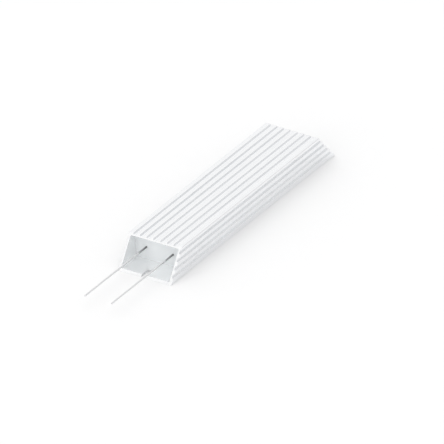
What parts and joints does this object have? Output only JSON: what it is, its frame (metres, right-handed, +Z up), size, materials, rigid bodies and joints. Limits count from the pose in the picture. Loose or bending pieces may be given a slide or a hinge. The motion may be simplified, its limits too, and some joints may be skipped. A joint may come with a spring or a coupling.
{
  "type": "aluminium housed power resistor",
  "caption": "Long flat finned aluminium housing with slanted ends holding a wound resistor, with stiff wire leads at one end and slots in the base.",
  "frame": {"origin": "centre of the flat mounting face under the housing", "axes": "+X along the housing, away from the leads, which leave towards -X; +Y across the width; +Z up from the mounting face"},
  "size_m": [0.3375, 0.06, 0.03],
  "materials": {
    "housing_aluminium": "satin extruded, clear anodised",
    "seal_cement": "smooth poured cement",
    "tinned_wire": "bright tinned",
    "sleeve": "satin black",
    "spacer_ceramic": "unglazed",
    "core_ceramic": "unglazed",
    "resistance_wire": "oxidised",
    "cap_steel": "nickel plated",
    "ferrule_brass": "tinned inside",
    "mica": "flaky, slightly shiny",
    "filling_cement": "coarse set cement"
  },
  "bodies": {
    "root": {"housing": "housing_aluminium", "near_end_seal": "seal_cement", "far_end_seal": "seal_cement", "left_lead": "tinned_wire", "right_lead": "tinned_wire", "left_sleeve": "sleeve", "right_sleeve": "sleeve", "near_spacer": "spacer_ceramic", "far_spacer": "spacer_ceramic", "left_core": "core_ceramic", "right_core": "core_ceramic", "left_winding": "resistance_wire", "right_winding": "resistance_wire", "left_near_cap": "cap_steel", "right_near_cap": "cap_steel", "left_far_cap": "cap_steel", "right_far_cap": "cap_steel", "left_ferrule": "ferrule_brass", "right_ferrule": "ferrule_brass", "link_strip": "cap_steel", "upper_mica_sheet": "mica", "lower_mica_sheet": "mica", "cement_filling": "filling_cement"}
  },
  "joints": []
}
